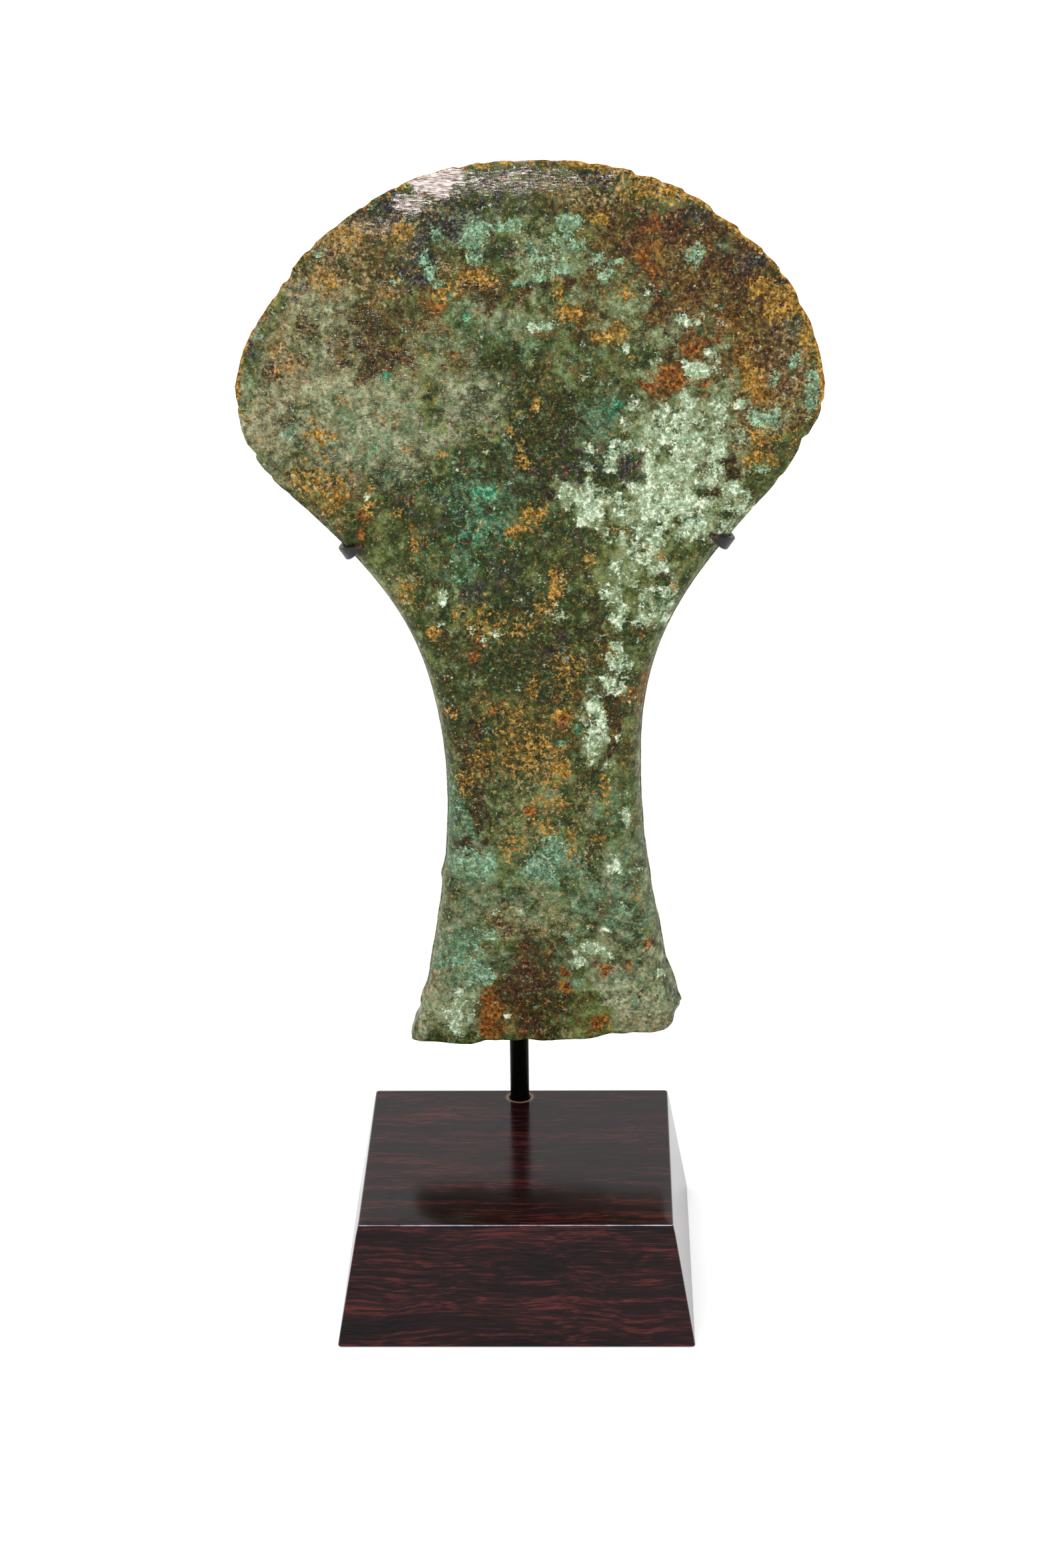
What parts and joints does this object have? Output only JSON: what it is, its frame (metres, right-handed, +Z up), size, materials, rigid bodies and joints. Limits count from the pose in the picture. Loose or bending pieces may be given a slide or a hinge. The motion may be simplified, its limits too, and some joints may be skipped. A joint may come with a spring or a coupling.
{
  "type": "bronze axe head on a display stand",
  "caption": "Flared bronze axe head with a worn crescent edge, upright in a black strap cradle on a small tapered wooden plinth.",
  "frame": {"origin": "middle of the plinth's underside, on the surface it stands on", "axes": "+Z up, towards the cutting edge; +X to the right seen from the front; +Y away to the back, where the rod stands"},
  "size_m": [0.0925, 0.0568, 0.1812],
  "materials": {
    "patinated_bronze": "dull green and brown patina with pale crust and ochre stains",
    "black_paint": "satin black paint, worn brown at the tips",
    "lacquered_rosewood": "dark red-brown rosewood under gloss lacquer"
  },
  "bodies": {
    "root": {"axe_head": "patinated_bronze", "cradle_strap": "black_paint", "mount_rod": "black_paint", "plinth": "lacquered_rosewood"}
  },
  "joints": []
}
